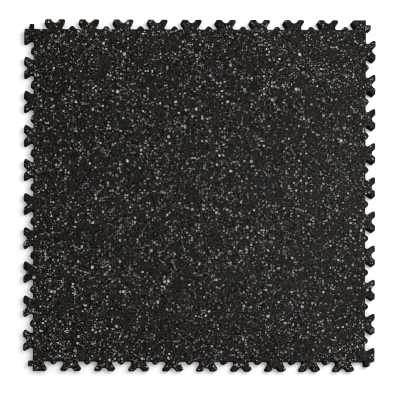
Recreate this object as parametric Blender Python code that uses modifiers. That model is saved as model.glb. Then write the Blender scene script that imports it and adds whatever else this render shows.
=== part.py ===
"""Interlocking floor tile: one flat moulded slab whose four sides carry fishtail teeth.

Any side keys into any side of another tile. Metres, +Z up. The tile lies flat, and the origin
is the middle of its underside. Run with: blender --background --python part.py
"""

import math

import bmesh
import bpy
from mathutils import Matrix, Vector

# Driving dimensions, in metres
OVERALL = 0.510  # from the tooth tips of one side to those of the opposite side
THICKNESS = 0.007
PITCH = 0.0496  # from the middle of one tooth to the middle of the next
PITCHES_PER_TILE = 10  # two joined tiles lie this many pitches apart
JOINT_PLAY = 0.0002  # gap all along the joint between two tiles

# Fishtail flanks: each tooth widens towards its tip, so a joined tile can't be pulled away
FLANK_LEAN = math.radians(33)
FLANK_RADIUS = 0.0027
FLANK_STEPS = 3

# Locating keys: a rounded bump between two teeth, and the notch in every tip that takes it
KEY_HEIGHT = 0.0045
KEY_HALF_ANGLE = math.radians(38)
KEY_RADIUS = 0.0043
KEY_STEPS = 4
KEY_CLEARANCE = 0.0004
KEY_FOOT_RADIUS = 0.0013
KEY_FOOT_STEPS = 1

# Square pegs at the four corners, where four tiles meet
PEG_RADIUS = 0.0010
PEG_STEPS = 2

# The moulded edge round the wear face is broken, and the underside is left sharp
EDGE_BREAK = 0.0006
SAME_POINT = 0.00001
SHARP_ANGLE = math.radians(43)

# Worked out from the driving dimensions
MODULE = PITCH * PITCHES_PER_TILE
HALF_MODULE = MODULE / 2
TOOTH_LENGTH = OVERALL + JOINT_PLAY - MODULE
ROOT_LINE = HALF_MODULE - TOOTH_LENGTH / 2
TIP_LINE = HALF_MODULE + TOOTH_LENGTH / 2
FLANK_RUN = TOOTH_LENGTH / 2 * math.tan(FLANK_LEAN)
TOOTH_HALF_AT_ROOT = PITCH / 4 - FLANK_RUN
TOOTH_HALF_AT_TIP = PITCH / 4 + FLANK_RUN
FIRST_TOOTH, LAST_TOOTH = -4, 4  # whole teeth on a side, counted from its middle
TOOTH_SHIFT = -0.25  # in pitches: teeth sit this far off the side's middle, and keys as far the other way
BLOCK_MIDDLE = (LAST_TOOTH + 1 + TOOTH_SHIFT) * PITCH


def remove_everything():
    for thing in list(bpy.data.objects):
        bpy.data.objects.remove(thing, do_unlink=True)


def sharp_peak(height, radius):
    """Height of the pointed key that keeps this height once its point is rounded."""
    return height + radius * (1 / math.sin(KEY_HALF_ANGLE) - 1)


def key_corners(middle):
    """Corners of one bump on the root line: (along, out, radius, steps) each."""
    peak = sharp_peak(KEY_HEIGHT, KEY_RADIUS)
    half_base = peak * math.tan(KEY_HALF_ANGLE)
    return [
        (middle - half_base, ROOT_LINE, KEY_FOOT_RADIUS, KEY_FOOT_STEPS),
        (middle, ROOT_LINE + peak, KEY_RADIUS, KEY_STEPS),
        (middle + half_base, ROOT_LINE, KEY_FOOT_RADIUS, KEY_FOOT_STEPS),
    ]


def flank_corners(middle, side):
    """Root corner and tip corner of one flank. The side is -1 for the left flank and 1 for the right."""
    return [
        (middle + side * TOOTH_HALF_AT_ROOT, ROOT_LINE, FLANK_RADIUS, FLANK_STEPS),
        (middle + side * TOOTH_HALF_AT_TIP, TIP_LINE, FLANK_RADIUS, FLANK_STEPS),
    ]


def tooth_corners(middle):
    """Corners of one tooth, up its left flank, through the notch in its tip and down again."""
    radius = KEY_RADIUS + KEY_CLEARANCE
    depth = sharp_peak(KEY_HEIGHT + KEY_CLEARANCE, radius)
    half_mouth = depth * math.tan(KEY_HALF_ANGLE)
    notch = [
        (middle - half_mouth, TIP_LINE, KEY_FOOT_RADIUS, KEY_FOOT_STEPS),
        (middle, TIP_LINE - depth, radius, KEY_STEPS),
        (middle + half_mouth, TIP_LINE, KEY_FOOT_RADIUS, KEY_FOOT_STEPS),
    ]
    return flank_corners(middle, -1) + notch + flank_corners(middle, 1)[::-1]


def peg_corners():
    """Corners of the square peg at the left end of a side."""
    places = [
        (-HALF_MODULE, ROOT_LINE),
        (-HALF_MODULE, HALF_MODULE),
        (-ROOT_LINE, HALF_MODULE),
        (-ROOT_LINE, ROOT_LINE),
    ]
    return [(along, out, PEG_RADIUS, PEG_STEPS) for along, out in places]


def side_corners():
    """Corners of one whole side: its peg, its teeth and keys, and the plain block at its right end."""
    corners = peg_corners()
    for count in range(FIRST_TOOTH, LAST_TOOTH + 1):
        corners += tooth_corners((count + TOOTH_SHIFT) * PITCH)
        corners += key_corners((count - TOOTH_SHIFT) * PITCH)
    corners += flank_corners(BLOCK_MIDDLE, -1)
    corners.append((ROOT_LINE, TIP_LINE, PEG_RADIUS, PEG_STEPS))
    return corners


def rounded(before, corner, after, radius, steps):
    """Points of the arc that rounds one corner between its two neighbours."""
    arrive = (corner - before).normalized()
    leave = (after - corner).normalized()
    turn = math.atan2(arrive.cross(leave), arrive.dot(leave))
    start = corner - arrive * radius * math.tan(abs(turn) / 2)
    to_centre = Vector((-arrive.y, arrive.x)) * math.copysign(radius, turn)
    centre = start + to_centre
    return [centre + Matrix.Rotation(turn * i / steps, 2) @ -to_centre for i in range(steps + 1)]


def drawn_outline():
    """The joint line round the whole tile: one side, turned clockwise four times."""
    corners = []
    for quarter in range(4):
        turn = Matrix.Rotation(-quarter * math.pi / 2, 2)
        corners += [(turn @ Vector((x, y)), radius, steps) for x, y, radius, steps in side_corners()]
    points = []
    for i, (corner, radius, steps) in enumerate(corners):
        before = corners[i - 1][0]
        after = corners[(i + 1) % len(corners)][0]
        points += rounded(before, corner, after, radius, steps)
    return points


def drawn_in(points, amount):
    """The clockwise outline moved inwards by this amount, so that two tiles have play between them."""
    moved = []
    for i, point in enumerate(points):
        arrive = (point - points[i - 1]).normalized()
        leave = (points[(i + 1) % len(points)] - point).normalized()
        inward = Vector((arrive.y + leave.y, -arrive.x - leave.x)).normalized()
        spread = inward.dot(Vector((arrive.y, -arrive.x)))
        moved.append(point + inward * amount / spread)
    return moved


def slab_from_outline(name, points, collection):
    """A filled flat curve with thickness, as a mesh with each of its faces in one piece."""
    flat = bpy.data.curves.new(name + "_outline", "CURVE")
    flat.dimensions = "2D"
    flat.fill_mode = "BOTH"
    flat.extrude = THICKNESS / 2
    spline = flat.splines.new("POLY")
    spline.points.add(len(points) - 1)
    for place, point in zip(spline.points, points):
        place.co = (point.x, point.y, 0, 1)
    spline.use_cyclic_u = True
    guide = bpy.data.objects.new(flat.name, flat)
    guide.location.z = THICKNESS / 2
    collection.objects.link(guide)
    bpy.context.view_layer.update()
    graph = bpy.context.evaluated_depsgraph_get()
    slab = bpy.data.objects.new(name, bpy.data.meshes.new_from_object(guide.evaluated_get(graph)))
    slab.matrix_world = guide.matrix_world
    collection.objects.link(slab)
    bpy.data.objects.remove(guide, do_unlink=True)
    return slab


def join_cap(shape, height):
    """Makes the triangles of the level face at this height into one face."""
    level = [
        face
        for face in shape.faces
        if all(abs(vertex.co.z - height) < SAME_POINT for vertex in face.verts)
    ]
    bmesh.ops.dissolve_faces(shape, faces=level)


def break_top_edge(slab):
    """Welds the caps on, then bevels only the edge that runs round the wear face."""
    shape = bmesh.new()
    shape.from_mesh(slab.data)
    bmesh.ops.remove_doubles(shape, verts=shape.verts, dist=SAME_POINT)
    join_cap(shape, -THICKNESS / 2)
    join_cap(shape, THICKNESS / 2)
    bmesh.ops.recalc_face_normals(shape, faces=shape.faces)
    weights = shape.edges.layers.float.new("bevel_weight_edge")
    for edge in shape.edges:
        on_top = all(vertex.co.z > THICKNESS / 2 - SAME_POINT for vertex in edge.verts)
        edge[weights] = 1.0 if on_top else 0.0
    shape.to_mesh(slab.data)
    shape.free()
    bevel = slab.modifiers.new("broken_edge", "BEVEL")
    bevel.limit_method = "WEIGHT"
    bevel.width = EDGE_BREAK
    bevel.segments = 1
    bevel.use_clamp_overlap = False
    triangles = slab.modifiers.new("even_triangles", "TRIANGULATE")
    triangles.ngon_method = "BEAUTY"


def speckled_vinyl():
    """Near-black vinyl with a satin face."""
    material = bpy.data.materials.new("speckled_vinyl")
    material.use_nodes = True
    shader = material.node_tree.nodes["Principled BSDF"]
    shader.inputs["Base Color"].default_value = (0.022, 0.020, 0.018, 1)
    shader.inputs["Roughness"].default_value = 0.5
    shader.inputs["Metallic"].default_value = 0.0
    return material


def make_tile():
    collection = bpy.data.collections.new("interlocking_floor_tile")
    bpy.context.scene.collection.children.link(collection)
    points = drawn_in(drawn_outline(), JOINT_PLAY / 2)
    slab = slab_from_outline("floor_tile", points, collection)
    break_top_edge(slab)
    slab.data.shade_smooth()
    slab.data.set_sharp_from_angle(angle=SHARP_ANGLE)
    slab.data.materials.append(speckled_vinyl())


remove_everything()
make_tile()
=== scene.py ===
# %% [markdown]
# An interlocking floor tile, dressed for its photograph
#
# The real object is one flat slab of near-black vinyl. Pale chips are moulded through it, and
# its four sides carry fishtail teeth, so that any side keys into any side of the next tile.
# The CAD model has the true outline. This file draws the same slab again with finer curves
# and a softly rounded rim, gives it the flecked vinyl, and sets up floor, light and camera.
#
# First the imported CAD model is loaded. It is the fixed frame for all that follows: metres,
# +Z up, with the origin in the middle of the tile's underside.

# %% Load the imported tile
import math

import bmesh
import bpy
from mathutils import Matrix, Vector


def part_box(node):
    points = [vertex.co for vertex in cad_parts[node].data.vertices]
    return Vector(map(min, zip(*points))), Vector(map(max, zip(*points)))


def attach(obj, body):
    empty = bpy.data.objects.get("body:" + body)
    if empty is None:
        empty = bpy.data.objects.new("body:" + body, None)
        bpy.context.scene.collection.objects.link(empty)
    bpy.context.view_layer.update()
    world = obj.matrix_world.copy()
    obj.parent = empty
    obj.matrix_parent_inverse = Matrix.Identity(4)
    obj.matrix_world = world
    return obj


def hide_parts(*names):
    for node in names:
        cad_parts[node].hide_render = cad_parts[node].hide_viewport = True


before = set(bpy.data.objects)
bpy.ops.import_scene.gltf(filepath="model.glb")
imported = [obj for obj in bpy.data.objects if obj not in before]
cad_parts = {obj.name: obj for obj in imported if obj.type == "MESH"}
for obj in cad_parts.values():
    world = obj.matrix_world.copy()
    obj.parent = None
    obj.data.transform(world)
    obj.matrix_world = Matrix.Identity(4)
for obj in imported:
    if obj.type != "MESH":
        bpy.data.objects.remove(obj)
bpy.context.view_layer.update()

lowest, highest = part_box("floor_tile")
overall = highest.x - lowest.x
thickness = highest.z - lowest.z
print(f"packed tile: {overall * 1000:.1f} mm across, {thickness * 1000:.1f} mm thick")

# %% [markdown]
# The joint line
#
# Joined tiles lie ten tooth pitches apart, with a fifth of a millimetre of play between
# them. All sizes of a tooth follow from that: a tooth stands as far out of the joint line as
# the gap beside it reaches in. These are the part's own sizes, repeated here because the
# visual tile has to lie exactly where the solid one does.

# %% Sizes of the joint
PITCH = 0.0496  # from one tooth to the next
PITCHES_PER_TILE = 10
JOINT_PLAY = 0.0002
FLANK_LEAN = math.radians(33)
FLANK_RADIUS = 0.0027
KEY_HEIGHT = 0.0045
KEY_HALF_ANGLE = math.radians(38)
KEY_RADIUS = 0.0043
KEY_CLEARANCE = 0.0004
KEY_FOOT_RADIUS = 0.0013
PEG_RADIUS = 0.0010
TOOTH_SHIFT = -0.25 * PITCH
FIRST_TOOTH, LAST_TOOTH = -4, 4  # counted from the middle of a side

half_tile = PITCH * PITCHES_PER_TILE / 2
tooth_length = overall + JOINT_PLAY - 2 * half_tile
root_line = half_tile - tooth_length / 2
tip_line = half_tile + tooth_length / 2
flank_run = tooth_length / 2 * math.tan(FLANK_LEAN)
print(f"a tooth is {tooth_length * 1000:.1f} mm long")
print(f"each flank leans out {flank_run * 1000:.1f} mm from the joint line to the tip")

# %% [markdown]
# One side, corner by corner
#
# A side could be drawn by hand as a curve, but a maker would set it out with a rule: a
# square peg at the left end, nine teeth, each with a small key after it, and a plain block
# at the right end. Every corner is written down sharp, with the radius that will round it.
# That keeps the list short, and a change of one size moves every tooth.

# %% Corners of one side
def flank(middle, side):
    """Root corner and tip corner of one leaning flank; side is -1 for left and 1 for right."""
    at_root = middle + side * (PITCH / 4 - flank_run)
    at_tip = middle + side * (PITCH / 4 + flank_run)
    return [(at_root, root_line, FLANK_RADIUS), (at_tip, tip_line, FLANK_RADIUS)]


def key(middle, base, height, radius):
    """A rounded bump with small feet. A height below zero makes the notch that takes it."""
    peak = abs(height) + radius * (1 / math.sin(KEY_HALF_ANGLE) - 1)
    half_base = peak * math.tan(KEY_HALF_ANGLE)
    return [
        (middle - half_base, base, KEY_FOOT_RADIUS),
        (middle, base + math.copysign(peak, height), radius),
        (middle + half_base, base, KEY_FOOT_RADIUS),
    ]


def tooth(middle):
    """Up the left flank, through the notch in the tip, and down the right flank."""
    notch = key(middle, tip_line, -KEY_HEIGHT - KEY_CLEARANCE, KEY_RADIUS + KEY_CLEARANCE)
    return flank(middle, -1) + notch + flank(middle, 1)[::-1]


def side_corners():
    """All corners of the north side, from left to right."""
    corners = [
        (-half_tile, root_line, PEG_RADIUS),
        (-half_tile, half_tile, PEG_RADIUS),
        (-root_line, half_tile, PEG_RADIUS),
        (-root_line, root_line, PEG_RADIUS),
    ]
    for count in range(FIRST_TOOTH, LAST_TOOTH + 1):
        corners += tooth(count * PITCH + TOOTH_SHIFT)
        corners += key(count * PITCH - TOOTH_SHIFT, root_line, KEY_HEIGHT, KEY_RADIUS)
    corners += flank((LAST_TOOTH + 1) * PITCH + TOOTH_SHIFT, -1)
    corners.append((root_line, tip_line, PEG_RADIUS))
    return corners


print(f"{len(side_corners())} corners on each side")

# %% [markdown]
# Round the corners
#
# Each sharp corner becomes an arc that touches both of its lines. A Bevel modifier on the
# flat shape could do this, but it gives every corner one radius and one count of steps. Here
# an arc gets one point for every nine degrees it turns, so that big and small corners look
# equally smooth. The same side, turned three times, closes the outline.

# %% The whole outline
ARC_STEP = math.radians(9)
FEWEST_STEPS = 2


def arc(before, corner, after, radius):
    """Points on the arc that rounds one corner between its neighbours."""
    arrive = (corner - before).normalized()
    leave = (after - corner).normalized()
    turn = math.atan2(arrive.cross(leave), arrive.dot(leave))
    start = corner - arrive * radius * math.tan(abs(turn) / 2)
    to_centre = Vector((-arrive.y, arrive.x)) * math.copysign(radius, turn)
    steps = max(FEWEST_STEPS, round(abs(turn) / ARC_STEP))
    turns = [Matrix.Rotation(turn * i / steps, 2) for i in range(steps + 1)]
    return [start + to_centre + turned @ -to_centre for turned in turns]


def joint_line():
    """Points clockwise round the tile, as seen from above."""
    corners = []
    for quarter in range(4):
        turned = Matrix.Rotation(-quarter * math.pi / 2, 2)
        corners += [(turned @ Vector((x, y)), radius) for x, y, radius in side_corners()]
    points = []
    for i, (corner, radius) in enumerate(corners):
        after = corners[(i + 1) % len(corners)][0]
        points += arc(corners[i - 1][0], corner, after, radius)
    return points


outline = joint_line()
print(f"the outline has {len(outline)} points")

# %% [markdown]
# Stack the outline into a slab
#
# The slab is a stack of rings, like the contour lines of a very flat hill. Each ring is the
# outline, drawn in a little and set at its own height: three rings round the underside's
# edge, then the straight wall, then a quarter circle of rings over the rim of the wear face.
# In the photograph that rim is a soft black line round every tooth. Rings keep it equally
# wide everywhere, also in the notches, where an automatic bevel would pinch.

# %% Rings from the underside to the wear face
RIM_RADIUS = 0.0008
RIM_STEPS = 4
HEEL_RADIUS = 0.0002  # the underside's edge is nearly sharp
HEEL_STEPS = 2


def drawn_in(points, amount):
    """The outline moved inwards by this amount, square to its own direction at each point."""
    moved = []
    for i, point in enumerate(points):
        arrive = (point - points[i - 1]).normalized()
        leave = (points[(i + 1) % len(points)] - point).normalized()
        inward = Vector((arrive.y + leave.y, -arrive.x - leave.x)).normalized()
        moved.append(point + inward * amount / inward.dot(Vector((arrive.y, -arrive.x))))
    return moved


def ring_places():
    """How far in and how high each ring lies, from the underside up."""
    places = []
    for i in range(HEEL_STEPS + 1):
        turn = math.pi / 2 * i / HEEL_STEPS
        places.append((HEEL_RADIUS * (1 - math.sin(turn)), HEEL_RADIUS * (1 - math.cos(turn))))
    for i in range(RIM_STEPS + 1):
        turn = math.pi / 2 * i / RIM_STEPS
        height = thickness - RIM_RADIUS * (1 - math.sin(turn))
        places.append((RIM_RADIUS * (1 - math.cos(turn)), height))
    return places


print(f"{len(ring_places())} rings, rounded {RIM_RADIUS * 1000} mm at the rim")

# %% [markdown]
# A flat pattern for the finish
#
# When the tile leaves Blender, its finish is painted onto one square picture, and a flat
# pattern, the UV map, says which part of the picture each face gets. Blender can lay faces
# out by itself, but it would give the hidden underside as many pixels as the wear face. Laid
# out here, the wear face takes most of the square and the underside a corner, and the walls
# lie in rows above them, like one long strip that was cut into lengths.

# %% Places on the flat pattern
WEAR_FACE_WIDTH = 0.72  # of the square
UNDERSIDE_WIDTH = 0.25
PATTERN_GAP = 0.01
WALL_STRETCH = 2.0  # the walls are low, so they are drawn taller than they are

scale = WEAR_FACE_WIDTH / overall
past_the_face = WEAR_FACE_WIDTH + 2 * PATTERN_GAP


def lengths_along(points):
    """How far along a line each of its points lies."""
    lengths = [0.0]
    for point, following in zip(points, points[1:]):
        lengths.append(lengths[-1] + (following - point).length)
    return lengths


round_the_tile = lengths_along(outline + outline[:1])
up_the_wall = lengths_along([Vector(place) for place in ring_places()])
wall_rows = math.ceil(round_the_tile[-1] * scale / (1 - 4 * PATTERN_GAP))
row_length = round_the_tile[-1] / wall_rows
row_height = up_the_wall[-1] * scale * WALL_STRETCH + PATTERN_GAP


def place_on_cap(corner, left, width):
    """Where a corner of the wear face or of the underside lies on the pattern."""
    across, upwards = corner.x / overall + 0.5, corner.y / overall + 0.5
    return (left + across * width, PATTERN_GAP + upwards * width)


def place_on_wall(row, along, height):
    """Where a point of a wall lies: in this row, this far round the tile, and this high."""
    across = PATTERN_GAP + (along - row * row_length) * scale
    return (across, past_the_face + row * row_height + height * scale * WALL_STRETCH)


print(f"{round_the_tile[-1]:.2f} m of wall in {wall_rows} rows")

# %% [markdown]
# Join the rings
#
# Each ring is joined to the next by a band of four-sided faces, and one face closes the top
# and another the bottom. Those two have hundreds of corners, so they are cut into triangles.
# Every face gets its place on the flat pattern as it is made.

# %% The slab
def lay_out(face, pattern, places):
    """Gives a face its places on the flat pattern, one for each corner."""
    for corner, spot in zip(face.loops, places):
        corner[pattern].uv = spot


def stacked_slab(name):
    """Rings joined by walls, with the wear face on top and the underside below."""
    shape = bmesh.new()
    pattern = shape.loops.layers.uv.new("OFBake")
    rings = []
    for inset, height in ring_places():
        ring = drawn_in(outline, JOINT_PLAY / 2 + inset)
        rings.append([shape.verts.new((point.x, point.y, height)) for point in ring])
    for low, high, foot, head in zip(rings, rings[1:], up_the_wall, up_the_wall[1:]):
        for i, (start, end) in enumerate(zip(round_the_tile, round_the_tile[1:])):
            following = (i + 1) % len(low)
            face = shape.faces.new((low[i], high[i], high[following], low[following]))
            row = int(start / row_length)
            corners = [(start, foot), (start, head), (end, head), (end, foot)]
            lay_out(face, pattern, [place_on_wall(row, *corner) for corner in corners])
    underside = shape.faces.new(rings[0])
    wear_face = shape.faces.new(rings[-1][::-1])
    for cap, left, width in (
        (underside, past_the_face, UNDERSIDE_WIDTH),
        (wear_face, PATTERN_GAP, WEAR_FACE_WIDTH),
    ):
        cap.normal_update()
        lay_out(cap, pattern, [place_on_cap(vertex.co, left, width) for vertex in cap.verts])
    bmesh.ops.triangulate(shape, faces=[underside, wear_face], ngon_method="BEAUTY")
    mesh = bpy.data.meshes.new(name)
    shape.to_mesh(mesh)
    shape.free()
    mesh.shade_smooth()
    slab = bpy.data.objects.new(name, mesh)
    bpy.context.scene.collection.objects.link(slab)
    return slab


tile = stacked_slab("flecked_tile")
print(f"flecked_tile has {len(tile.data.polygons)} faces")

# %% [markdown]
# Keep the flat faces flat
#
# Smooth shading blends the direction of light between neighbouring faces. Over the rim that
# is wanted, but it would also spread across the wide wear face as a faint glow. The Weighted
# Normal modifier lets large faces win, so the wear face shades dead flat up to its rim.

# %% Weighted normals
WEIGHT_OF_LARGE_FACES = 100

flat_faces = tile.modifiers.new("large_faces_win", "WEIGHTED_NORMAL")
flat_faces.weight = WEIGHT_OF_LARGE_FACES
flat_faces.keep_sharp = True

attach(tile, "root")
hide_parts("floor_tile")
print("flecked_tile rides on the root body and stands for floor_tile")

# %% [markdown]
# Sums in a material
#
# The fleck pattern needs a good deal of arithmetic: this chip or not, how bright, how warm.
# In the node editor each sum is a Math node. A small class lets us write the sums as plain
# Python instead: it wraps the socket a value comes from, and every operator on it adds the
# Math node that does the sum. All other nodes come from one method, which sets the node's own
# settings first, because they can change its sockets, and then its values and links.

# %% A socket that can be added and multiplied
class Value:
    """What comes out of one socket in a material."""

    def __init__(self, socket):
        self.socket = socket

    def node(self, kind, settings, sockets, output=0):
        """Adds a node to the same material, and returns what comes out of it."""
        tree = self.socket.id_data
        made = tree.nodes.new(kind)
        for name, setting in settings.items():
            if name == "stops":
                fill_ramp(made.color_ramp, setting)
            else:
                setattr(made, name, setting)
        for name, given in sockets.items():
            if isinstance(given, Value):
                tree.links.new(given.socket, made.inputs[name])
            else:
                made.inputs[name].default_value = given
        return Value(made.outputs[output])

    def beside(self, output):
        """Another output of the same node."""
        return Value(self.socket.node.outputs[output])

    def worked_out(self, operation, *values):
        """The result of a Math node."""
        return self.node("ShaderNodeMath", {"operation": operation}, dict(enumerate(values)))

    def __add__(self, other):
        return self.worked_out("ADD", self, other)

    def __sub__(self, other):
        return self.worked_out("SUBTRACT", self, other)

    def __rsub__(self, other):
        return self.worked_out("SUBTRACT", other, self)

    def __mul__(self, other):
        return self.worked_out("MULTIPLY", self, other)

    def __gt__(self, other):
        return self.worked_out("GREATER_THAN", self, other)

    def __lt__(self, other):
        return self.worked_out("LESS_THAN", self, other)

    __radd__ = __add__
    __rmul__ = __mul__


def fill_ramp(ramp, stops):
    """Sets a ramp's colours, given as (place, colour) pairs from left to right."""
    while len(ramp.elements) < len(stops):
        ramp.elements.new(1.0)
    for element, (place, colour) in zip(ramp.elements, stops):
        element.position = place
        element.color = (*colour, 1)


print("a Value can be added, subtracted, multiplied and compared")

# %% [markdown]
# Tones of the vinyl, and of painted shade
#
# A Math node would turn a colour grey, so colours go through Mix nodes. The first two tones
# below are painted shade: a near-black that stands for the shade on the rim and walls, and a
# mottled variant of it. The rest are the vinyl's own: a near-black body that wavers between
# brown and blue, a black seam round each chip, and chips from dim grey to off-white. The three
# tints are multiplied over a chip's own grey, so that a dim chip stays dim: cream on many, rose
# on a few, and a pale green on a rare large one. Blender counts light evenly and the eye
# doesn't, so its blacks are far smaller numbers than a screen's.

# %% Tones, and a way to blend them
# painted shade for the rim and walls, and a mottled variant of it
SIDE_SHADE_BLACK = (0.0010, 0.0009, 0.0008)
MOTTLED_SIDE_SHADE = (0.0085, 0.0075, 0.0066)
BROWN_BLACK = (0.0022, 0.0010, 0.0004)
BLUE_BLACK = (0.0007, 0.0004, 0.0005)
SEAM_BLACK = (0.0010, 0.0008, 0.0006)
BODY_LIGHT = (0.0227, 0.0182, 0.0152)
DIM_GREY = (0.039, 0.0358, 0.0335)
MID_GREY = (0.122, 0.115, 0.110)
WARM_GREY = (0.269, 0.256, 0.2475)
OFF_WHITE = (0.465, 0.446, 0.434)
CREAM_TINT = (1.0, 0.985, 0.66)
ROSE_TINT = (1.0, 0.90, 0.90)
GREEN_TINT = (0.94, 1.0, 0.66)


def with_alpha(colour):
    """A colour as a socket takes it: four numbers, or a link as it is."""
    return colour if isinstance(colour, Value) else (*colour, 1)


def blended(share, first, second):
    """The first colour where share is 0, and the second where it is 1."""
    sockets = {0: share, 6: with_alpha(first), 7: with_alpha(second)}
    return share.node("ShaderNodeMix", {"data_type": "RGBA"}, sockets, 2)


def tinted(share, colour, tint):
    """A colour multiplied by a tint, fully where share is 1."""
    settings = {"data_type": "RGBA", "blend_type": "MULTIPLY"}
    return share.node("ShaderNodeMix", settings, {0: share, 6: colour, 7: with_alpha(tint)}, 2)


vinyl = bpy.data.materials.new("flecked_vinyl")
vinyl.use_nodes = True
shader = vinyl.node_tree.nodes["Principled BSDF"]
place = Value(vinyl.node_tree.nodes.new("ShaderNodeTexCoord").outputs["Object"])
print("material started:", vinyl.name)

# %% [markdown]
# Where painted shade lies
#
# On the wear face the chips show. The walls of the teeth and the rounded rim above them are
# nearly black in the photograph, because they lie in shade. That shade is painted into the
# colour: near-black, with fewer and dimmer chips. A map of every wall could say where the
# painted shade goes. The direction of the surface says it without a map: straight up on the
# wear face, level on a wall, and straight down underneath. The underside can't be seen in the
# photograph, so it gets half of the painted shade, with half of its chips showing.

# %% Painted shade on the rim and walls
# painted shade is full below the first value and gone above the second
FULL_SHADE_BELOW, FACE_BEGINS = 0.70, 0.97  # how far a surface looks up, where 1 is straight up
SHOWN_UNDERNEATH = 0.5


def spread(value, low, high, to_low=0.0, to_high=1.0):
    """Stretches one range of values onto another, and stops at its ends."""
    given = {"Value": value, "From Min": low, "From Max": high}
    return value.node("ShaderNodeMapRange", {}, {**given, "To Min": to_low, "To Max": to_high})


facing = place.beside("Normal")
up = facing.node("ShaderNodeSeparateXYZ", {}, {"Vector": facing}, "Z")
# 1 on the wear face, 0 where the painted shade on rim and walls is full
unshaded_above = spread(up, FULL_SHADE_BELOW, FACE_BEGINS)
unshaded = unshaded_above + spread(up, -FACE_BEGINS, -FULL_SHADE_BELOW, SHOWN_UNDERNEATH, 0.0)
unshaded_within = math.degrees(math.acos(FACE_BEGINS))
print(f"chips lie fully bare where the surface is within {unshaded_within:.0f} degrees of level")

# %% [markdown]
# Where chips crowd together
#
# Chips fall unevenly into the mix. The photograph shows crowded drifts about a thumb wide,
# and bare black patches between them. A broad soft noise drives that. Noise hovers round a
# half, so the middle of its range is stretched. A second, fine one bends the chips' own
# places a little, so that no edge is ruled.

# %% Drifts and bent edges
DRIFT_SIZE, DRIFT_RANGE = 0.016, (0.36, 0.64)  # how wide, and the part that is stretched
SPARSE, CROWDED = 0.45, 1.55
# share of chips that still show in the painted shade on the rim and walls
CHIPS_IN_SHADE = 0.12
BEND_SIZE, BEND = 0.0032, 0.0012


def noise(size, detail, output="Fac"):
    """Soft noise whose lumps are about this size, in metres."""
    sockets = {"Vector": place, "Scale": 1 / size, "Detail": detail}
    return place.node("ShaderNodeTexNoise", {}, sockets, output)


def moved(where, direction, amount):
    """A place shifted along a changing direction, by up to half this amount."""
    kind = "ShaderNodeVectorMath"
    centred = where.node(kind, {"operation": "SUBTRACT"}, {0: direction, 1: (0.5, 0.5, 0.5)})
    scaled = where.node(kind, {"operation": "SCALE"}, {0: centred, "Scale": amount})
    return where.node(kind, {"operation": "ADD"}, {0: where, 1: scaled})


drifts = spread(noise(DRIFT_SIZE, 1), *DRIFT_RANGE, SPARSE, CROWDED)
crowding = drifts * (CHIPS_IN_SHADE + (1 - CHIPS_IN_SHADE) * unshaded)
bent_place = moved(place, noise(BEND_SIZE, 0, "Color"), BEND)
print(f"drifts about {DRIFT_SIZE * 1000:.0f} mm wide")
print(f"at most {CROWDED / SPARSE:.1f} times as crowded as the gaps between them")

# %% [markdown]
# One grade of chips
#
# The chips are granules sifted into grades. A Voronoi texture cuts space into cells, as a
# packed heap of granules would: most cells stay body colour, and a few, drawn by lot, are
# chips. A chip is trimmed back from its cell's border and kept near its cell's middle, so it
# stays compact, and chips never touch along a line. What is left of the cell is a black
# seam: in the photograph each chip stands out sharply from a ring darker than the body. The
# texture is cut through in three dimensions, so a chip at the rim carries on down the wall.

# %% Lots and colours for the chips
CREAM_FROM, MOST_CREAM = 0.6, 0.5  # where on the scale of hues cream sets in, and its strength
ROSE_SHARE = 0.10
# chips in the painted shade on rim and walls keep this share of their brightness
DIMMED_IN_SHADE = 0.55


def lots(where, size):
    """Three random numbers for a place's cell, and how far its border and its middle are."""
    cells = {"Vector": where, "Scale": 1 / size}
    colour = where.node("ShaderNodeTexVoronoi", {"feature": "F1"}, cells, "Color")
    border = where.node("ShaderNodeTexVoronoi", {"feature": "DISTANCE_TO_EDGE"}, cells, "Distance")
    first = where.node("ShaderNodeSeparateColor", {}, {"Color": colour}, "Red")
    return first, first.beside("Green"), first.beside("Blue"), border, colour.beside("Distance")


def chip_colour(brightness, hue, greens):
    """Grey to off-white by brightness, tinted by hue. This share of the chips is greenish."""
    stops = [(0.0, DIM_GREY), (0.45, MID_GREY), (0.75, WARM_GREY), (1.0, OFF_WHITE)]
    grey = brightness.node("ShaderNodeValToRGB", {"stops": stops}, {"Fac": brightness})
    creamy = spread(hue, CREAM_FROM, 1.0)
    rosy = tinted(hue < ROSE_SHARE, grey, ROSE_TINT)
    warm = tinted(creamy * creamy * MOST_CREAM, rosy, CREAM_TINT)
    return tinted(hue > 1 - greens, warm, GREEN_TINT) if greens else warm


def add_grade(colour, size, share, brightest, trim, reach, greens, seam):
    """Lays one grade of chips in their seams over a colour. Also returns where the chips are.

    Size is a cell's, in metres. Share is how many cells hold a chip, and greens how many of
    those are greenish. Brightest is the top of the chips' scale of greys. Trim is how far a
    chip keeps from its cell's border, and reach how far it goes from the middle, both in
    cells. Seam is how black the rest of the cell is.
    """
    lot, light, hue, border, middle = lots(bent_place, size)
    cell = lot > 1 - crowding * share
    colour = blended(cell * seam, colour, SEAM_BLACK)
    chosen = cell * (border > trim) * (middle < reach)
    # chips are dimmed where the painted shade lies
    shown = light * brightest * (DIMMED_IN_SHADE + (1 - DIMMED_IN_SHADE) * unshaded)
    return blended(chosen, colour, chip_colour(shown, hue, greens)), chosen


print(f"one chip in {1 / ROSE_SHARE:.0f} is rosy, and {1 - CREAM_FROM:.0%} lean towards cream")

# %% [markdown]
# The black body
#
# The body is near black and a little cloudy. A close look at the photograph shows that its
# cast wanders from reddish to greenish to bluish black over a thumb's width, so a soft
# coloured noise is multiplied over it. One flat black would look like paint. On the rim and
# walls a painted shade covers it: a near-black for the shade they lie in, mottled a little
# in patches.

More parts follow.
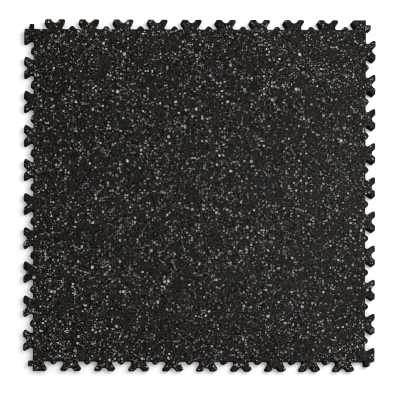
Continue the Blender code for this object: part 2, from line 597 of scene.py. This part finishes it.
# %% Body and painted shade
BLACKS_SIZE, BLACKS_RANGE = 0.012, (0.4, 0.6)
CLOUD_SIZE, CLOUD_RANGE = 0.0032, (0.34, 0.70)
MOTTLE_SIZE, MOTTLE_RANGE = 0.0045, (0.52, 0.74)
CAST_SIZE = 0.018
CASTS = (1.1, 1.1, 1.3)  # how strongly red, green and blue wander

black = blended(spread(noise(BLACKS_SIZE, 1), *BLACKS_RANGE), BROWN_BLACK, BLUE_BLACK)
cloudy = blended(spread(noise(CLOUD_SIZE, 2), *CLOUD_RANGE), black, BODY_LIGHT)
wander = noise(CAST_SIZE, 2, "Color")
centred_on_one = {0: wander, 1: CASTS, 2: [1 - cast / 2 for cast in CASTS]}
casts = wander.node("ShaderNodeVectorMath", {"operation": "MULTIPLY_ADD"}, centred_on_one)
# painted shade for the rim and walls, mottled in patches
side_shade = blended(spread(noise(MOTTLE_SIZE, 4), *MOTTLE_RANGE), SIDE_SHADE_BLACK, MOTTLED_SIDE_SHADE)
body = blended(unshaded, side_shade, tinted(unshaded, cloudy, casts))
print(f"{len(vinyl.node_tree.nodes)} nodes in the body")

# %% [markdown]
# From dust to flakes
#
# Four grades of chips are laid over the body, the finest first. The dust is about a
# millimetre wide and dim, and only breaks up the black. The largest flakes are about four
# millimetres wide, few, and bright. Only the two coarsest grades have green ones. A single
# grade would be simpler, but then all flecks would look alike.

# %% The grades
GRADES = {  # size, share, brightest, trim, reach, greens, seam
    "dust": (0.0016, 0.12, 0.60, 0.08, 0.42, 0, 0.6),
    "grit": (0.0027, 0.22, 0.83, 0.09, 0.47, 0, 1),
    "chips": (0.0036, 0.20, 0.95, 0.11, 0.49, 0.006, 1),
    "flakes": (0.0050, 0.062, 0.94, 0.13, 0.52, 0.04, 1),
}

colour, where_are = body, {}
for grade, makeup in GRADES.items():
    colour, where_are[grade] = add_grade(colour, *makeup)
print(f"{len(GRADES)} grades, {len(vinyl.node_tree.nodes)} nodes in the vinyl so far")

# %% [markdown]
# Satin with a fine grain
#
# The wear face is satin, and the chips in it are polished a touch smoother than the body.
# The walls are duller. A photograph of black vinyl under soft light has very
# little glare, so the shader's reflection is set low. Real tiles have a fine grain against
# slipping. It is a few hundredths of a millimetre deep, too fine to model, so it is a bump.

# %% Finish of the vinyl
REFLECTION = 0.035
SIDE_ROUGHNESS = 0.58
# SATIN is how much smoother the wear face is than the walls
SATIN = 0.16  # how much smoother the wear face is than the skin
UNEVENNESS, UNEVENNESS_SIZE = 0.12, 0.004
CHIP_POLISH = 0.06
CHIP_RELIEF = 0.25  # of the grain's depth
GRAIN_SIZE = 0.0007
GRAIN_DEPTH = 0.00003
GRAIN_STRENGTH = 0.5

chips = where_are["chips"]
uneven = (noise(UNEVENNESS_SIZE, 3) - 0.5) * UNEVENNESS
roughness = SIDE_ROUGHNESS - SATIN * unshaded + uneven - chips * CHIP_POLISH
grain = noise(GRAIN_SIZE, 2) + chips * CHIP_RELIEF
depth = {"Height": grain, "Strength": GRAIN_STRENGTH, "Distance": GRAIN_DEPTH}
bump = grain.node("ShaderNodeBump", {}, depth)

tree = vinyl.node_tree
shader.inputs["Specular IOR Level"].default_value = REFLECTION
tree.links.new(colour.socket, shader.inputs["Base Color"])
tree.links.new(roughness.socket, shader.inputs["Roughness"])
tree.links.new(bump.socket, shader.inputs["Normal"])
tile.data.materials.append(vinyl)
print(f"{len(tree.nodes)} nodes in the finished vinyl")

# %% [markdown]
# A plain pale floor
#
# The tile lies on a plain pale floor. It is a sheet of paper so wide that it fills the
# picture with an even white from above, and reaches a quiet pale horizon from every other
# side. It is part of the stage and not of the tile, so it rides on nothing.

# %% The floor
FLOOR_HALF = 15.0
PAPER_WHITE = (0.93, 0.93, 0.93, 1)
PAPER_ROUGHNESS = 0.9
PAPER_REFLECTION = 0.1

floor_mesh = bpy.data.meshes.new("pale_floor")
floor_shape = bmesh.new()
bmesh.ops.create_grid(floor_shape, x_segments=1, y_segments=1, size=FLOOR_HALF)
floor_shape.to_mesh(floor_mesh)
floor_shape.free()
floor = bpy.data.objects.new("pale_floor", floor_mesh)
bpy.context.scene.collection.objects.link(floor)

paper = bpy.data.materials.new("white_paper")
paper.use_nodes = True
paper_shader = paper.node_tree.nodes["Principled BSDF"]
paper_shader.inputs["Base Color"].default_value = PAPER_WHITE
paper_shader.inputs["Roughness"].default_value = PAPER_ROUGHNESS
paper_shader.inputs["Specular IOR Level"].default_value = PAPER_REFLECTION
floor_mesh.materials.append(paper)
print(f"floor {FLOOR_HALF * 2:.0f} m wide")

# %% [markdown]
# Soft light
#
# In the photograph the black grows greyer towards the right, while the chips stay as they
# are: that is the faint sheen of a wide light in a satin face. The gaps are a little darker
# at their upper right. So most of the light comes evenly from everywhere, and one wide
# softbox stands at the upper right, near where the lens would see it mirrored. A small lamp
# would draw hard shadows, and a dome of light alone would draw none.

# %% The softbox and the bright room
LIGHT_PLACE = (0.70, 0.35, 0.97)
LIGHT_SIZE = 0.8
LIGHT_POWER = 6.4  # watts
ROOM_BRIGHTNESS = 0.95

lamp = bpy.data.lights.new("softbox", "AREA")
lamp.shape = "DISK"
lamp.size = LIGHT_SIZE
lamp.energy = LIGHT_POWER
softbox = bpy.data.objects.new("softbox", lamp)
bpy.context.scene.collection.objects.link(softbox)
softbox.location = LIGHT_PLACE
softbox.rotation_euler = Vector(LIGHT_PLACE).to_track_quat("Z", "Y").to_euler()

world = bpy.data.worlds.new("studio")
world.use_nodes = True
room = world.node_tree.nodes["Background"]
room.inputs["Color"].default_value = (1, 1, 1, 1)
room.inputs["Strength"].default_value = ROOM_BRIGHTNESS
bpy.context.scene.world = world
bpy.context.scene.view_settings.view_transform = "Standard"
print(f"softbox of {LIGHT_POWER} W, {Vector(LIGHT_PLACE).length:.2f} m from the tile")

# %% [markdown]
# A picture squared up
#
# The photograph shows the tile as a true square, and it also shows the walls on the left and
# lower side of each tooth. So the lens stood well off to the lower left, and the picture was
# squared up. From straight above, a plain camera would lose the walls; from the lower left,
# it would turn the square into a kite. A large lens shift would do it, but views from other
# sides keep the shift, and would miss the tile. Here the camera's own axes are slanted
# instead: across and up lie level, as the tile does, and only the third points at the lens.
# A location and a rotation can't hold slanted axes, so a parent's inverse matrix does.

# %% The camera
FRAME_WIDTH = 0.5809  # how much of the wear face the picture takes in
LENS_HEIGHT = 1.16  # above the wear face
LENS_FOOT = (-0.403, -0.541)  # the point straight below the lens
ROLL = 0.0036  # the photograph is turned by a fifth of a degree
PICTURE_MIDDLE = (0.00036, -0.00726)  # on the wear face
FILM_WIDTH = 36  # millimetres
FARTHEST = 50  # past the floor's far corners
PIXEL_SPREAD = 1.0  # in pixels: the photograph is crisp

target = Vector((*PICTURE_MIDDLE, thickness))
lens_place = Vector((*LENS_FOOT, thickness + LENS_HEIGHT))
back = (lens_place - target).normalized()
right = Vector((math.cos(ROLL), math.sin(ROLL), 0))
up_the_picture = Vector((-math.sin(ROLL), math.cos(ROLL), 0))

camera_data = bpy.data.cameras.new("camera")
camera_data.sensor_width = FILM_WIDTH
camera_data.lens = FILM_WIDTH * (lens_place - target).length / FRAME_WIDTH
camera_data.clip_end = FARTHEST
camera = bpy.data.objects.new("camera", camera_data)
holder = bpy.data.objects.new("slanted_holder", None)
for thing in (camera, holder):
    bpy.context.scene.collection.objects.link(thing)

slanted_axes = Matrix((right, up_the_picture, back)).transposed().to_4x4()
camera.parent = holder
camera.matrix_parent_inverse = Matrix.Translation(lens_place) @ slanted_axes
bpy.context.scene.camera = camera
bpy.context.scene.cycles.filter_width = PIXEL_SPREAD
off_vertical = math.degrees(back.angle(Vector((0, 0, 1))))
print(f"the lens stands {off_vertical:.0f} degrees off the vertical")

# %% [markdown]
# Finish
#
# The dressed tile is meant to fill the same box as the solid one.

# %% Finish
print("scene set up")
